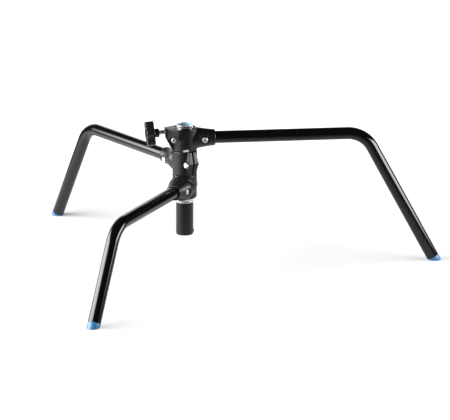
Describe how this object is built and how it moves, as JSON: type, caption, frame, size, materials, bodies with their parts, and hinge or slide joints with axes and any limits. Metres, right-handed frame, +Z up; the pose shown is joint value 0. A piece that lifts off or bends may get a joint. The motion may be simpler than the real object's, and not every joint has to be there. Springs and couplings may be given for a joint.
{
  "type": "c stand base",
  "caption": "Low turtle base of a C stand: bent tube legs on stacked castings that swing round a centre tube, with a column socket and a lobed clamp knob.",
  "frame": {"origin": "on the floor, on the axis of the centre tube", "axes": "+Z up along the centre tube, +X along the top leg, which is clamped to the tube; the middle leg lies 119 degrees and the bottom leg 238 degrees from +X, counted from +X towards +Y"},
  "size_m": [0.7873, 0.806, 0.3158],
  "materials": {
    "gloss_black_paint": "gloss black paint",
    "satin_black_paint": "satin black paint",
    "satin_black_casting": "satin black powder coat on a casting",
    "chrome": "bright polished",
    "zinc": "bright zinc plated",
    "white_nylon": "white nylon",
    "blue_grey_plastic": "satin blue-grey plastic",
    "black_plastic": "satin black moulded plastic",
    "blue_plastic": "satin blue moulded plastic",
    "brass": "turned brass"
  },
  "bodies": {
    "column": {"centre_tube": "satin_black_paint", "socket_ring": "chrome", "socket_liner": "blue_grey_plastic", "retaining_ring": "chrome", "stop_pin": "satin_black_paint", "top_casting": "satin_black_casting", "top_leg_tube": "gloss_black_paint", "top_foot_cap": "blue_plastic", "top_leg_bolt": "zinc", "top_leg_nut": "zinc", "top_pinch_bolt": "zinc", "top_pinch_nut": "zinc"},
    "middle_leg": {"middle_casting": "satin_black_casting", "middle_bush": "white_nylon", "middle_leg_tube": "gloss_black_paint", "middle_foot_cap": "blue_plastic", "middle_leg_bolt": "zinc", "middle_leg_nut": "zinc", "middle_pinch_bolt": "zinc", "middle_pinch_nut": "zinc"},
    "bottom_leg": {"bottom_casting": "satin_black_casting", "bottom_bush": "white_nylon", "bottom_leg_tube": "gloss_black_paint", "bottom_foot_cap": "blue_plastic", "bottom_leg_bolt": "zinc", "bottom_leg_nut": "zinc", "bottom_pinch_bolt": "zinc", "bottom_pinch_nut": "zinc"},
    "clamp_pad": {"pressure_pad": "brass"},
    "clamp_handle": {"clamp_knob": "black_plastic", "clamp_screw": "zinc"}
  },
  "joints": [
    {"name": "middle_leg_swing", "type": "hinge", "parent": "column", "child": "middle_leg", "pos_m": [0, 0, 0.2278], "axis": [0, 0, 1], "range_deg": [-113, 0]},
    {"name": "bottom_leg_swing", "type": "hinge", "parent": "column", "child": "bottom_leg", "pos_m": [0, 0, 0.1752], "axis": [0, 0, 1], "range_deg": [0, 115.5]},
    {"name": "screw_advance", "type": "slide", "parent": "column", "child": "clamp_pad", "axis": [0.9962, 0, 0.0872], "range_m": [-0.003, 0.004]},
    {"name": "knob_turn", "type": "hinge", "parent": "clamp_pad", "child": "clamp_handle", "pos_m": [-0.0415, 0, 0.2911], "axis": [0.9962, 0, 0.0872], "range_deg": [-720, 960]}
  ],
  "couplings": [
    {"joint": "screw_advance", "follows": "knob_turn", "m_per_rad": 0.00023873}
  ]
}
